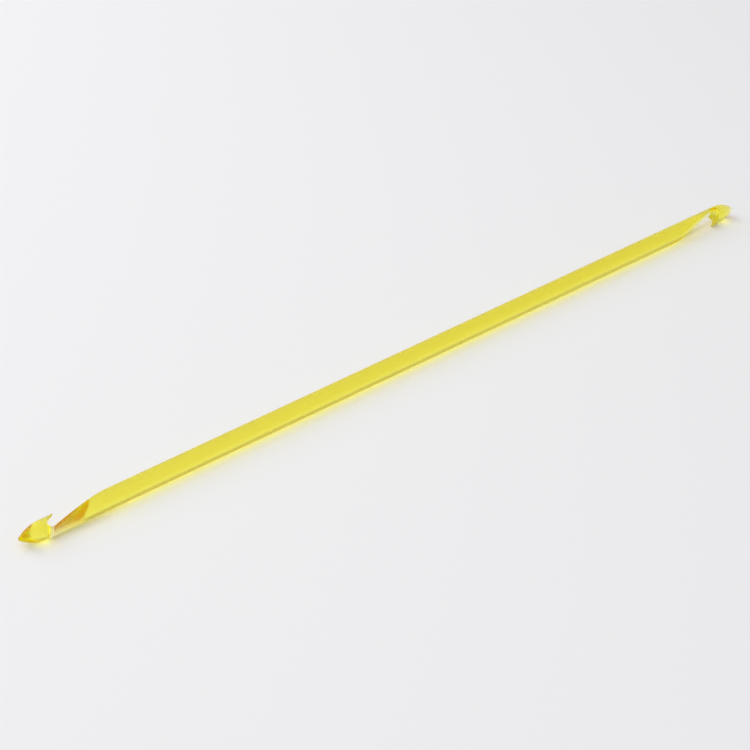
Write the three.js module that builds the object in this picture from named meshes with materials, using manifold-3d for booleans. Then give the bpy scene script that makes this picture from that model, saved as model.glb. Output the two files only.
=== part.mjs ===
// A double-ended tunisian crochet hook, in millimetres, +Z up, lying along X as it rests on a table.
// It is one piece of clear yellow acrylic: a round shaft with a pointed hook head at each end.
// The two mouths open to opposite sides. The hook lies rolled, so the mouth of the end at -X opens
// to +Y and a little upward, and the mouth of the other end opens to -Y and a little downward.
import * as THREE from 'three';
import { mergeVertices } from 'three/addons/utils/BufferGeometryUtils.js';
import Module from 'manifold-3d';

const wasm = await Module();
wasm.setup();

// Driving dimensions, lengths along the hook measured from the tip of the head
const hookLength = 300;
const shaftDiameter = 6;
const noseLength = 8.2;
const tipRadius = 0.6;
// how far the point of the nose stands off the axis, toward the mouth
const pointOffset = 0.35;
const lipReach = 12.4;
const lipThickness = 0.45;
const undercutAngle = 25.3;
const throatRadius = 1.4;
const throatDepth = 4.6;
const rampAngle = 12.4;
const rampShoulderRadius = 60;
// roll of the resting hook: how far the first mouth leans from straight up toward +Y
const restRoll = 64;

// Fineness of the facets, and how far a cutter stands clear of what it cuts
const facets = 64;
const arcSteps = 12;
const cutterMargin = 2;
const mergeTolerance = 1e-5;

const roll = THREE.MathUtils.degToRad(restRoll);
const shaftRadius = shaftDiameter / 2;
const throatFloor = shaftRadius - throatDepth;
const noseArcRadius = (shaftRadius ** 2 + noseLength ** 2) / (2 * shaftRadius);

// A closed geometry becomes a solid for the cuts, and a cut solid becomes a geometry again.
function toSolid(geometry) {
  const bare = geometry.clone();
  bare.deleteAttribute('normal');
  bare.deleteAttribute('uv');
  const merged = mergeVertices(bare, mergeTolerance);
  const mesh = new wasm.Mesh({
    numProp: 3,
    vertProperties: Float32Array.from(merged.attributes.position.array),
    triVerts: Uint32Array.from(merged.index.array),
  });
  return new wasm.Manifold(mesh);
}

function toGeometry(solid) {
  const mesh = solid.getMesh();
  const geometry = new THREE.BufferGeometry();
  geometry.setAttribute('position', new THREE.BufferAttribute(mesh.vertProperties, mesh.numProp));
  geometry.setIndex(new THREE.BufferAttribute(mesh.triVerts, 1));
  geometry.computeVertexNormals();
  return geometry;
}

// Radius of the tangent ogive that makes the nose, at a distance from its sharp tip.
function ogiveRadius(fromTip) {
  const sideways = Math.sqrt(noseArcRadius ** 2 - (noseLength - fromTip) ** 2);
  return sideways + shaftRadius - noseArcRadius;
}

// The nose from its round point back to the shaft. A ball of the tip radius sits in the ogive where
// both have the same slope, and the hook's length runs to the front of the ball.
function noseProfile() {
  const arcOffset = noseArcRadius - shaftRadius;
  const centreGap = noseArcRadius - tipRadius;
  const ballCentre = noseLength - Math.sqrt(centreGap ** 2 - arcOffset ** 2);
  const touchAngle = Math.acos((noseLength - ballCentre) / centreGap);
  const touch = ballCentre - tipRadius * Math.cos(touchAngle);
  const front = ballCentre - tipRadius;
  const points = [];
  for (let i = 0; i <= arcSteps / 2; i += 1) {
    const angle = (i / (arcSteps / 2)) * touchAngle;
    const along = ballCentre - tipRadius * Math.cos(angle) - front;
    points.push(new THREE.Vector2(tipRadius * Math.sin(angle), along));
  }
  for (let i = 1; i <= arcSteps; i += 1) {
    const along = THREE.MathUtils.lerp(touch, noseLength, i / arcSteps);
    points.push(new THREE.Vector2(ogiveRadius(along), along - front));
  }
  return points;
}

// Each nose leans toward its mouth, more and more toward the point.
function leanNoses(geometry) {
  const position = geometry.attributes.position;
  for (let i = 0; i < position.count; i += 1) {
    const x = position.getX(i);
    const fromTip = hookLength / 2 - Math.abs(x);
    const share = Math.max(0, 1 - fromTip / noseLength);
    const lean = -Math.sign(x) * pointOffset * share ** 2;
    position.setY(i, position.getY(i) + lean * Math.sin(roll));
    position.setZ(i, position.getZ(i) + lean * Math.cos(roll));
  }
}

// The blank: a straight shaft with a nose at each end, and a facet straight underneath.
function blankSolid() {
  const nose = noseProfile();
  const otherNose = nose.map((point) => new THREE.Vector2(point.x, hookLength - point.y));
  const profile = [...nose, ...otherNose.reverse()];
  const lathe = new THREE.LatheGeometry(profile, facets, Math.PI / facets);
  lathe.rotateZ(-Math.PI / 2);
  lathe.translate(-hookLength / 2, 0, 0);
  leanNoses(lathe);
  return toSolid(lathe);
}

// Side view of what is cut away to make the mouth: x from the tip, y from the axis toward the mouth.
// The undercut leaves the lip, the throat is a round groove, and the ramp runs out into the shaft.
function mouthShape() {
  const above = shaftRadius + cutterMargin;
  const undercut = THREE.MathUtils.degToRad(undercutAngle);
  const ramp = THREE.MathUtils.degToRad(rampAngle);
  const lipUnder = shaftRadius - lipThickness;
  const centreY = throatFloor + throatRadius;
  const undercutEndY = centreY + throatRadius * Math.cos(undercut);
  const undercutEndX = lipReach - (lipUnder - undercutEndY) / Math.tan(undercut);
  const centreX = undercutEndX + throatRadius * Math.sin(undercut);
  const rampStartX = centreX + throatRadius * Math.sin(ramp);
  const rampStartY = centreY - throatRadius * Math.cos(ramp);
  const rampTopX = rampStartX + (shaftRadius - rampStartY) / Math.tan(ramp);
  const shoulder = rampShoulderRadius * Math.tan(ramp / 2);
  const shape = new THREE.Shape();
  shape.moveTo(lipReach, above);
  shape.lineTo(lipReach, lipUnder);
  shape.lineTo(undercutEndX, undercutEndY);
  // from the undercut, round the front and the floor of the throat, to the ramp
  const arcStart = Math.PI / 2 + undercut;
  const arcEnd = 1.5 * Math.PI + ramp;
  shape.absarc(centreX, centreY, throatRadius, arcStart, arcEnd, false);
  shape.lineTo(rampTopX - shoulder * Math.cos(ramp), shaftRadius - shoulder * Math.sin(ramp));
  shape.quadraticCurveTo(rampTopX, shaftRadius, rampTopX + shoulder, shaftRadius);
  shape.lineTo(rampTopX + shoulder, above);
  return shape;
}

// The first mouth's cutter, standing straight up over the end at -X
function mouthCutter() {
  const width = shaftDiameter + 2 * cutterMargin;
  const cutter = new THREE.ExtrudeGeometry(mouthShape(), {
    depth: width, bevelEnabled: false, curveSegments: arcSteps,
  });
  cutter.rotateX(Math.PI / 2);
  cutter.translate(-hookLength / 2, width / 2, 0);
  return cutter;
}

// The other end is the same end turned half round the crosswise axis.
const firstMouth = mouthCutter();
const otherMouth = mouthCutter();
otherMouth.rotateY(Math.PI);
firstMouth.rotateX(-roll);
otherMouth.rotateX(-roll);
const hook = blankSolid().subtract(toSolid(firstMouth)).subtract(toSolid(otherMouth));

const acrylic = new THREE.MeshStandardMaterial({
  color: 0xe6dc46, roughness: 0.08, metalness: 0, transparent: true, opacity: 0.85,
});
const crochetHook = new THREE.Mesh(toGeometry(hook), acrylic);
crochetHook.name = 'crochet_hook';
// the middle of the bottom facet rests on the floor
crochetHook.position.z = shaftRadius * Math.cos(Math.PI / facets);

const group = new THREE.Group();
group.add(crochetHook);
export default group;
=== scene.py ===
import math

import bpy
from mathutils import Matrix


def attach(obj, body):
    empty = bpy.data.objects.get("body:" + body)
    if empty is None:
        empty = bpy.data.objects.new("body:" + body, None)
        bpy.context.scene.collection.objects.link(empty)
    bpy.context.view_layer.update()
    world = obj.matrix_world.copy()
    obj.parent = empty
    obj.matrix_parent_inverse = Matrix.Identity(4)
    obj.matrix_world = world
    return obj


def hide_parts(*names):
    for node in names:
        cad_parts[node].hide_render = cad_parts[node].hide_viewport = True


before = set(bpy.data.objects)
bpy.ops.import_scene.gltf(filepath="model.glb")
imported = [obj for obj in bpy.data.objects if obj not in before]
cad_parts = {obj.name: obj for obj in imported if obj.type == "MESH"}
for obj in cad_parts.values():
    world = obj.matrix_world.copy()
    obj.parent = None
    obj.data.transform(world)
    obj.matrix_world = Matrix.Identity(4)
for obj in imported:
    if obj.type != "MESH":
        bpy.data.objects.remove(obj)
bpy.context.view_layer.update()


# The bar. A tunisian crochet hook is one bar of clear yellow acrylic, turned to a straight round
# shaft with a pointed nose at each end, and polished. It lies along X with its lowest line on the
# floor, and each nose is an ogive that ends in a small round point.

# The length and the radius are a hair under the CAD's, which keeps the bar inside the CAD's box.
hook_length = 0.29998
shaft_radius = 0.002995
shaft_height = 0.002996
nose_length = 0.0082
tip_radius = 0.0006
point_offset = 0.00035
rest_roll = math.radians(64)
sides = 128
ogive_rings = 26
point_rings = 8
end_facing = 0.9

ogive_radius = (shaft_radius**2 + nose_length**2) / (2 * shaft_radius)
ogive_sink = ogive_radius - shaft_radius
point_centre = nose_length - math.sqrt((ogive_radius - tip_radius) ** 2 - ogive_sink**2)
nose_front = point_centre - tip_radius
nose_depth = nose_length - nose_front
meeting_angle = math.asin((nose_length - point_centre) / (ogive_radius - tip_radius))

# Each ring of the nose: how far out it stands from the end of the shaft, and its radius.
nose_rings = []
for i in range(1, ogive_rings + 1):
    angle = meeting_angle * i / ogive_rings
    nose_rings.append((ogive_radius * math.sin(angle), ogive_radius * math.cos(angle) - ogive_sink))
for i in range(1, point_rings):
    angle = meeting_angle + (math.pi / 2 - meeting_angle) * i / point_rings
    reach = nose_length - point_centre + tip_radius * math.sin(angle)
    nose_rings.append((reach, tip_radius * math.cos(angle)))
nose_rings.append((nose_depth, 0))

bpy.ops.object.select_all(action="DESELECT")
bpy.ops.mesh.primitive_cylinder_add(
    vertices=sides,
    radius=shaft_radius,
    depth=hook_length - 2 * nose_depth,
    location=(0, 0, shaft_height),
    rotation=(0, math.pi / 2, 0),
)
hook = bpy.context.object
hook.name = "hook"
bpy.ops.object.transform_apply()

# The noses are drawn out of the two ends ring by ring, and each leans toward its mouth. The face
# of an end is the one that looks along the bar.
side = math.sin(rest_roll)
up = math.cos(rest_roll)
for end in (-1, 1):
    bpy.ops.object.mode_set(mode="EDIT")
    bpy.ops.mesh.select_mode(type="FACE")
    bpy.ops.mesh.select_all(action="DESELECT")
    bpy.ops.object.mode_set(mode="OBJECT")
    for face in hook.data.polygons:
        face.select = face.normal.x * end > end_facing
    bpy.ops.object.mode_set(mode="EDIT")
    shaft_end = end * (hook_length / 2 - nose_depth)
    last_reach, last_radius, last_lean = 0, shaft_radius, 0
    for reach, radius in nose_rings:
        lean = -end * point_offset * (reach / nose_depth) ** 2
        step = lean - last_lean
        bpy.ops.mesh.extrude_region_move(
            TRANSFORM_OT_translate={
                "value": (end * (reach - last_reach), step * side, step * up)
            }
        )
        if radius > 0:
            bpy.ops.transform.resize(
                value=(1, radius / last_radius, radius / last_radius),
                center_override=(
                    shaft_end + end * reach, lean * side, shaft_height + lean * up
                ),
            )
        last_reach, last_radius, last_lean = reach, radius, lean
    bpy.ops.mesh.merge(type="CENTER")
    bpy.ops.object.mode_set(mode="OBJECT")


# The mouths. One is milled into each end of the bar: an undercut that leaves a thin, sharp lip, a
# round throat, and a long straight ramp that runs out into the shaft over a soft shoulder. They
# open to opposite sides, and the hook lies rolled, so neither points straight up.
lip_reach = 0.0124
lip_thickness = 0.00045
undercut_angle = math.radians(25.3)
throat_radius = 0.0014
throat_depth = 0.0046
ramp_angle = math.radians(12.4)
shoulder_radius = 0.060
cut_clearance = 0.002
throat_steps = 40
shoulder_steps = 16
start_plate = 0.001
smooth_under = math.radians(30)

lip_under = shaft_radius - lip_thickness
throat_up = shaft_radius - throat_depth + throat_radius
undercut_up = throat_up + throat_radius * math.cos(undercut_angle)
undercut_reach = lip_reach - (lip_under - undercut_up) / math.tan(undercut_angle)
throat_reach = undercut_reach + throat_radius * math.sin(undercut_angle)
ramp_low_reach = throat_reach + throat_radius * math.sin(ramp_angle)
ramp_low_up = throat_up - throat_radius * math.cos(ramp_angle)
ramp_top_reach = ramp_low_reach + (shaft_radius - ramp_low_up) / math.tan(ramp_angle)
shoulder_run = shoulder_radius * math.tan(ramp_angle / 2)
shoulder_reach = ramp_top_reach - shoulder_run * math.cos(ramp_angle)
shoulder_up = shaft_radius - shoulder_run * math.sin(ramp_angle)


def walk_outline(from_point, to_point):
    step = (to_point[0] - from_point[0], 0, to_point[1] - from_point[1])
    bpy.ops.mesh.extrude_region_move(TRANSFORM_OT_translate={"value": step})


# The cutter starts as one point over the lip, which is walked round the outline of the mouth. The
# outline is then closed and drawn out to a block that is wider than the bar.
def make_mouth_cutter():
    tip = -hook_length / 2
    above = shaft_radius + cut_clearance
    start = (lip_reach, above)
    bpy.ops.object.select_all(action="DESELECT")
    bpy.ops.mesh.primitive_plane_add(size=start_plate, location=(tip + start[0], 0, start[1]))
    made = bpy.context.object
    bpy.ops.object.transform_apply()
    bpy.ops.object.mode_set(mode="EDIT")
    bpy.ops.mesh.select_mode(type="VERT")
    bpy.ops.mesh.select_all(action="SELECT")
    bpy.ops.mesh.merge(type="CENTER")
    walk_outline(start, (lip_reach, lip_under))
    walk_outline((lip_reach, lip_under), (undercut_reach, undercut_up))
    bpy.ops.mesh.spin(
        steps=throat_steps,
        angle=math.pi - undercut_angle + ramp_angle,
        center=(tip + throat_reach, 0, throat_up),
        axis=(0, 1, 0),
    )
    walk_outline((ramp_low_reach, ramp_low_up), (shoulder_reach, shoulder_up))
    bpy.ops.mesh.spin(
        steps=shoulder_steps,
        angle=ramp_angle,
        center=(tip + ramp_top_reach + shoulder_run, 0, shaft_radius - shoulder_radius),
        axis=(0, -1, 0),
    )
    walk_outline((0, shaft_radius), (0, above))
    bpy.ops.mesh.select_all(action="SELECT")
    bpy.ops.mesh.edge_face_add()
    width = 2 * (shaft_radius + cut_clearance)
    bpy.ops.transform.translate(value=(0, -width / 2, 0))
    bpy.ops.mesh.extrude_region_move(TRANSFORM_OT_translate={"value": (0, width, 0)})
    bpy.ops.mesh.select_all(action="SELECT")
    bpy.ops.mesh.normals_make_consistent(inside=False)
    bpy.ops.object.mode_set(mode="OBJECT")
    return made


# The first mouth is cut at -X, and the second is the same one turned half round to +X.
for turn in ((-rest_roll, 0, 0), (rest_roll, math.pi, 0)):
    cutter = make_mouth_cutter()
    cutter.rotation_euler = turn
    cutter.location = (0, 0, shaft_height)
    bpy.ops.object.transform_apply()
    bpy.ops.object.select_all(action="DESELECT")
    bpy.context.view_layer.objects.active = hook
    hook.select_set(True)
    cut = hook.modifiers.new("mouth", "BOOLEAN")
    cut.object = cutter
    cut.operation = "DIFFERENCE"
    cut.solver = "EXACT"
    bpy.ops.object.modifier_apply(modifier=cut.name)
    bpy.data.objects.remove(cutter)

bpy.ops.object.shade_smooth_by_angle(angle=smooth_under)


# The acrylic: cast with its dye right through, milled, and polished to a soft shine. Light loses
# its blue in a few millimetres and its green in several centimetres, so the bar looks lemon yellow,
# and light that is caught inside and runs along it comes out amber. A little haze lets it out.
refraction = 1.49
shine_tint = (1, 0.95, 0.05, 1)
dye_colour = (0.9975, 0.971, 0.12, 1)
dye_density = 400
haze_colour = (1, 0.9, 0.15, 1)
haze_density = 30
haze_forward = 0.8

acrylic = bpy.data.materials.new("clear yellow acrylic")
acrylic.use_nodes = True
nodes = acrylic.node_tree.nodes
links = acrylic.node_tree.links
shader = nodes["Principled BSDF"]
shader.inputs["Metallic"].default_value = 0
shader.inputs["IOR"].default_value = refraction
shader.inputs["Transmission Weight"].default_value = 1
shader.inputs["Specular Tint"].default_value = shine_tint

dye = nodes.new("ShaderNodeVolumeAbsorption")
dye.inputs["Color"].default_value = dye_colour
dye.inputs["Density"].default_value = dye_density
haze = nodes.new("ShaderNodeVolumeScatter")
haze.inputs["Color"].default_value = haze_colour
haze.inputs["Density"].default_value = haze_density
haze.inputs["Anisotropy"].default_value = haze_forward
inside = nodes.new("ShaderNodeAddShader")
links.new(dye.outputs["Volume"], inside.inputs[0])
links.new(haze.outputs["Volume"], inside.inputs[1])
links.new(inside.outputs["Shader"], nodes["Material Output"].inputs["Volume"])

place = nodes.new("ShaderNodeTexCoord")
axes = nodes.new("ShaderNodeSeparateXYZ")
links.new(place.outputs["Object"], axes.inputs["Vector"])


def work_out(operation, first, second=0.0):
    node = nodes.new("ShaderNodeMath")
    node.operation = operation
    for socket, value in zip(node.inputs, (first, second)):
        if isinstance(value, bpy.types.NodeSocket):
            links.new(value, socket)
        else:
            socket.default_value = value
    return node.outputs["Value"]


def spread(value, low, high, to_low=0, to_high=1):
    node = nodes.new("ShaderNodeMapRange")
    links.new(value, node.inputs["Value"])
    node.inputs["From Min"].default_value = low
    node.inputs["From Max"].default_value = high
    node.inputs["To Min"].default_value = to_low
    node.inputs["To Max"].default_value = to_high
    return node.outputs["Result"]


# Noise that is drawn out along the bar: the smaller the share along it, the longer the marks.
def drawn_noise(scale, along, detail):
    turn = nodes.new("ShaderNodeMapping")
    turn.inputs["Scale"].default_value = (along, 1, 1)
    links.new(place.outputs["Object"], turn.inputs["Vector"])
    noise = nodes.new("ShaderNodeTexNoise")
    noise.inputs["Scale"].default_value = scale
    noise.inputs["Detail"].default_value = detail
    links.new(turn.outputs["Vector"], noise.inputs["Vector"])
    return noise.outputs["Fac"]


# The milled faces are those sunk below the round of the shaft, short of the nose. These two depths
# are where a face begins to count as milled and where it counts in full.
sunk_first = 0.000004
sunk_full = 0.00002
across = axes.outputs["Y"]
height = work_out("SUBTRACT", axes.outputs["Z"], shaft_height)
across_squared = work_out("MULTIPLY", across, across)
height_squared = work_out("MULTIPLY", height, height)
from_axis = work_out("SQRT", work_out("ADD", across_squared, height_squared))
sunk = spread(from_axis, shaft_radius - sunk_first, shaft_radius - sunk_full)
from_middle = work_out("ABSOLUTE", axes.outputs["X"])
on_nose = work_out("GREATER_THAN", from_middle, hook_length / 2 - nose_length)
milled = work_out("MULTIPLY", sunk, work_out("SUBTRACT", 1, on_nose))

# Faint drawing marks run along the bar, in its colour and its shine. The milled faces are duller.
plain_tint = (1, 1, 1, 1)
streak_tint = (1, 1, 0.98, 1)
shaft_finish = 0.18
milled_finish = 0.32
finish_drift = 0.02
streaks = nodes.new("ShaderNodeMix")
streaks.data_type = "RGBA"
streak_share = streaks.inputs[0]
streak_from = streaks.inputs[6]
streak_to = streaks.inputs[7]
streaked_colour = streaks.outputs[2]
links.new(spread(drawn_noise(scale=500, along=0.06, detail=2), low=0.35, high=0.65), streak_share)
streak_from.default_value = plain_tint
streak_to.default_value = streak_tint
links.new(streaked_colour, shader.inputs["Base Color"])
marks = drawn_noise(scale=900, along=0.15, detail=3)
drift = spread(marks, low=0.3, high=0.7, to_low=-finish_drift, to_high=finish_drift)
finish = work_out("ADD", spread(milled, 0, 1, shaft_finish, milled_finish), drift)
links.new(finish, shader.inputs["Roughness"])

# The faces keep the CAD's places, but are shaded as if the mouths lay rolled further over, most at
# the throat, the ramps were steeper, most at their top, and the noses were a little blunter. Light
# that falls on them from inside is then thrown along the bar.
throat_from_tip = 0.015
ramp_top_from_tip = 0.040
throat_turn = math.radians(-26)
ramp_top_turn = math.radians(-22)
throat_stretch = 0.15
ramp_top_stretch = 0.4
nose_stretch = 0.22
turned = nodes.new("ShaderNodeVectorRotate")
turned.rotation_type = "X_AXIS"
links.new(place.outputs["Normal"], turned.inputs["Vector"])
throat_at = hook_length / 2 - throat_from_tip
ramp_top_at = hook_length / 2 - ramp_top_from_tip
up_ramp = spread(from_middle, throat_at, ramp_top_at)
turn_angle = work_out("MULTIPLY", milled, spread(up_ramp, 0, 1, throat_turn, ramp_top_turn))
links.new(turn_angle, turned.inputs["Angle"])
factors = nodes.new("ShaderNodeCombineXYZ")
on_milled = work_out("MULTIPLY", milled, spread(up_ramp, 0, 1, throat_stretch, ramp_top_stretch))
stretch = work_out("ADD", on_milled, work_out("MULTIPLY", on_nose, nose_stretch))
links.new(work_out("ADD", stretch, 1), factors.inputs["X"])
factors.inputs["Y"].default_value = 1
factors.inputs["Z"].default_value = 1
stretched = nodes.new("ShaderNodeVectorMath")
stretched.operation = "MULTIPLY"
links.new(turned.outputs["Vector"], stretched.inputs[0])
links.new(factors.outputs["Vector"], stretched.inputs[1])
unit = nodes.new("ShaderNodeVectorMath")
unit.operation = "NORMALIZE"
links.new(stretched.outputs["Vector"], unit.inputs[0])
in_world = nodes.new("ShaderNodeVectorTransform")
in_world.vector_type = "NORMAL"
in_world.convert_from = "OBJECT"
in_world.convert_to = "WORLD"
links.new(unit.outputs["Vector"], in_world.inputs["Vector"])

# The polish leaves the surface very slightly wavy, in long shallow runs along the bar.
wave_depth = 0.00001
wave = nodes.new("ShaderNodeBump")
wave.inputs["Strength"].default_value = 1
wave.inputs["Distance"].default_value = wave_depth
links.new(drawn_noise(scale=300, along=0.2, detail=1), wave.inputs["Height"])
links.new(in_world.outputs["Vector"], wave.inputs["Normal"])
links.new(wave.outputs["Normal"], shader.inputs["Normal"])
hook.data.materials.append(acrylic)

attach(hook, "root")
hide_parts("crochet_hook")


# The table: a wide, smooth sheet of pale matt paper with nothing on it but the hook, which lies on
# it along the lowest line of its shaft.
paper_width = 6
paper_colour = (0.87, 0.87, 0.88, 1)

bpy.ops.object.select_all(action="DESELECT")
bpy.ops.mesh.primitive_plane_add(size=paper_width, location=(0, 0, 0))
table = bpy.context.object
table.name = "table"
paper = bpy.data.materials.new("pale paper")
paper.use_nodes = True
paper_shader = paper.node_tree.nodes["Principled BSDF"]
paper_shader.inputs["Base Color"].default_value = paper_colour
paper_shader.inputs["Roughness"].default_value = 1
paper_shader.inputs["Specular IOR Level"].default_value = 0
table.data.materials.append(paper)


# The light: an even room, a large soft lamp behind the hook and a smaller one almost overhead, a
# little in front. Both stand toward the near end, and face the line of the hook. A lamp has its
# angle up from the table behind the hook in degrees, its width in metres, and its power in watts.
room_colour = (0.55, 0.55, 0.555, 1)
lamp_distance = 1.3
lamp_along = -0.4
lamps = (("back lamp", 46, 1.6, 10.4), ("top lamp", 105, 1.1, 3.6))

room = bpy.data.worlds.new("room")
bpy.context.scene.world = room
room.use_nodes = True
room.node_tree.nodes["Background"].inputs["Color"].default_value = room_colour

for name, rise, width, power in lamps:
    angle = math.radians(rise)
    bpy.ops.object.light_add(
        type="AREA",
        location=(lamp_along, lamp_distance * math.cos(angle), lamp_distance * math.sin(angle)),
        rotation=(angle - math.pi / 2, 0, 0),
    )
    lamp = bpy.context.object
    lamp.name = name
    lamp.data.shape = "SQUARE"
    lamp.data.size = width
    lamp.data.energy = power


# The camera: where the photo was taken from, which is beyond the near end of the hook, in front of
# it and above it. It looks down along the hook through a long lens. Its angles are in degrees.
camera_place = (-0.4003, -0.4226, 0.3489)
looking_down = 31.312
turned_right = 42.058
film_width = 36
lens_length = 103.8
nearest_seen = 0.01

bpy.ops.object.camera_add(
    location=camera_place,
    rotation=(math.radians(90 - looking_down), 0, math.radians(-turned_right)),
)
camera = bpy.context.object
camera.name = "camera"
camera.data.sensor_width = film_width
camera.data.lens = lens_length
camera.data.clip_start = nearest_seen
bpy.context.scene.camera = camera

# Light that is caught in the bar meets its wall very many times before it comes out again.
caught_bounces = 256
table_bounces = 8
bpy.context.scene.view_settings.view_transform = "Standard"
bpy.context.scene.cycles.blur_glossy = 0
bpy.context.scene.cycles.max_bounces = caught_bounces
bpy.context.scene.cycles.transmission_bounces = caught_bounces
bpy.context.scene.cycles.glossy_bounces = caught_bounces
bpy.context.scene.cycles.volume_bounces = caught_bounces
bpy.context.scene.cycles.diffuse_bounces = table_bounces
